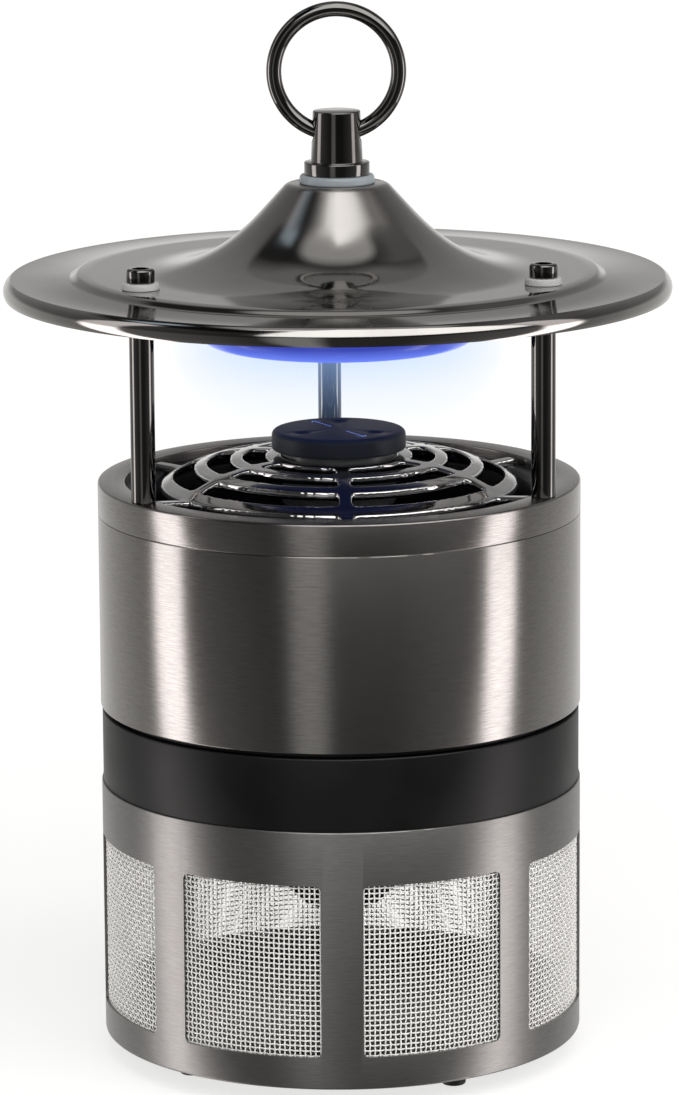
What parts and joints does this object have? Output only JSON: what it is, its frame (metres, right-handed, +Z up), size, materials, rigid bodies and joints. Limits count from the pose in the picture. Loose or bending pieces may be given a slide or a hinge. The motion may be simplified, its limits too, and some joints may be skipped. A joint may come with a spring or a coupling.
{
  "type": "insect trap lantern",
  "caption": "Hanging lantern-shaped insect trap: spun hood with ultraviolet lamp on posts, fan intake grille, brushed round body, pull-off catch basket of woven wire.",
  "frame": {"origin": "on the ground plane under the middle of the body, at the underside of the feet", "axes": "+Z up along the body's axis, front towards -Y, with one bar of the basket straight ahead"},
  "size_m": [0.22, 0.22, 0.3519],
  "materials": {
    "gunmetal_polish": "polished spun sheet",
    "black_nickel": "polished black nickel",
    "brushed_body": "brushed round the body",
    "brushed_ring": "turned, fine brushed",
    "bright_wire": "bright woven wire",
    "grille_plate": "bright plated",
    "zinc": "zinc plated",
    "motor_steel": "plated steel can",
    "brass_part": "machined",
    "copper_winding": "lacquered copper wire",
    "ferrite": "matte sintered",
    "black_matte": "fine matte moulded",
    "black_satin": "satin moulded",
    "white_nylon": "natural nylon",
    "cap_plastic": "dark blue-grey soft matte",
    "holder_plastic": "grey satin moulded",
    "lamp_housing": "satin moulded",
    "lens_frost": "frosted, lit violet-blue",
    "led_violet": "lit ultraviolet emitter",
    "board_white": "white solder mask",
    "board_green": "green solder mask",
    "chip_black": "moulded chips and plugs",
    "cable_black": "soft cable sheath",
    "foot_rubber": "moulded rubber",
    "seal_rubber": "moulded rubber",
    "tablet": "pressed attractant tablet",
    "pan_steel": "dark satin steel"
  },
  "bodies": {
    "housing": {"ring_knob": "black_nickel", "knob_washer": "white_nylon", "centre_stud": "zinc", "stud_nut": "zinc", "hood": "gunmetal_polish", "brim_screws": "black_nickel", "brim_washers": "white_nylon", "post_back": "black_nickel", "post_left": "black_nickel", "post_right": "black_nickel", "lamp_base": "lamp_housing", "led_board": "board_white", "uv_leds": "led_violet", "led_screws": "zinc", "lamp_lens": "lens_frost", "lamp_cable": "cable_black", "top_ring": "brushed_ring", "tie_rods": "zinc", "intake_grille": "grille_plate", "lure_holder": "holder_plastic", "lure_tablet": "tablet", "body_sleeve": "brushed_body", "fan_duct": "black_matte", "motor_bracket": "black_satin", "bracket_screws": "zinc", "motor_can": "motor_steel", "motor_magnets": "ferrite", "motor_bearings": "brass_part", "motor_screws": "zinc", "motor_cable": "cable_black", "control_board": "board_green", "board_parts": "chip_black", "board_screws": "zinc", "power_cable": "cable_black", "dc_socket": "black_satin", "socket_pin": "zinc", "socket_nut": "black_satin", "housing_base": "black_matte", "seal_ring": "seal_rubber"},
    "hanger": {"hanging_ring": "black_nickel"},
    "cap": {"lure_cap": "cap_plastic"},
    "fan": {"motor_shaft": "motor_steel", "motor_rotor": "copper_winding", "fan_impeller": "black_satin", "fan_nut": "brass_part"},
    "basket": {"basket_collar": "black_matte", "escape_funnel": "black_satin", "funnel_screws": "zinc", "basket_shell": "brushed_body", "mesh_sleeve": "bright_wire", "floor_pan": "pan_steel", "foot_front_right": "foot_rubber", "foot_back_right": "foot_rubber", "foot_back_left": "foot_rubber", "foot_front_left": "foot_rubber", "foot_screws": "zinc"}
  },
  "joints": [
    {"name": "ring_swing", "type": "hinge", "parent": "housing", "child": "hanger", "pos_m": [0, 0, 0.30945], "axis": [1, 0, 0], "range_deg": [-125, 125]},
    {"name": "fan_spin", "type": "hinge", "parent": "housing", "child": "fan", "pos_m": [0, 0, 0.16], "axis": [0, 0, 1], "continuous": true},
    {"name": "lure_cap_twist", "type": "hinge", "parent": "housing", "child": "cap", "pos_m": [0, 0, 0.204], "axis": [0, 0, 1], "range_deg": [0, 35]},
    {"name": "basket_pull", "type": "slide", "parent": "housing", "child": "basket", "axis": [0, 0, -1], "range_m": [0, 0.04]}
  ]
}
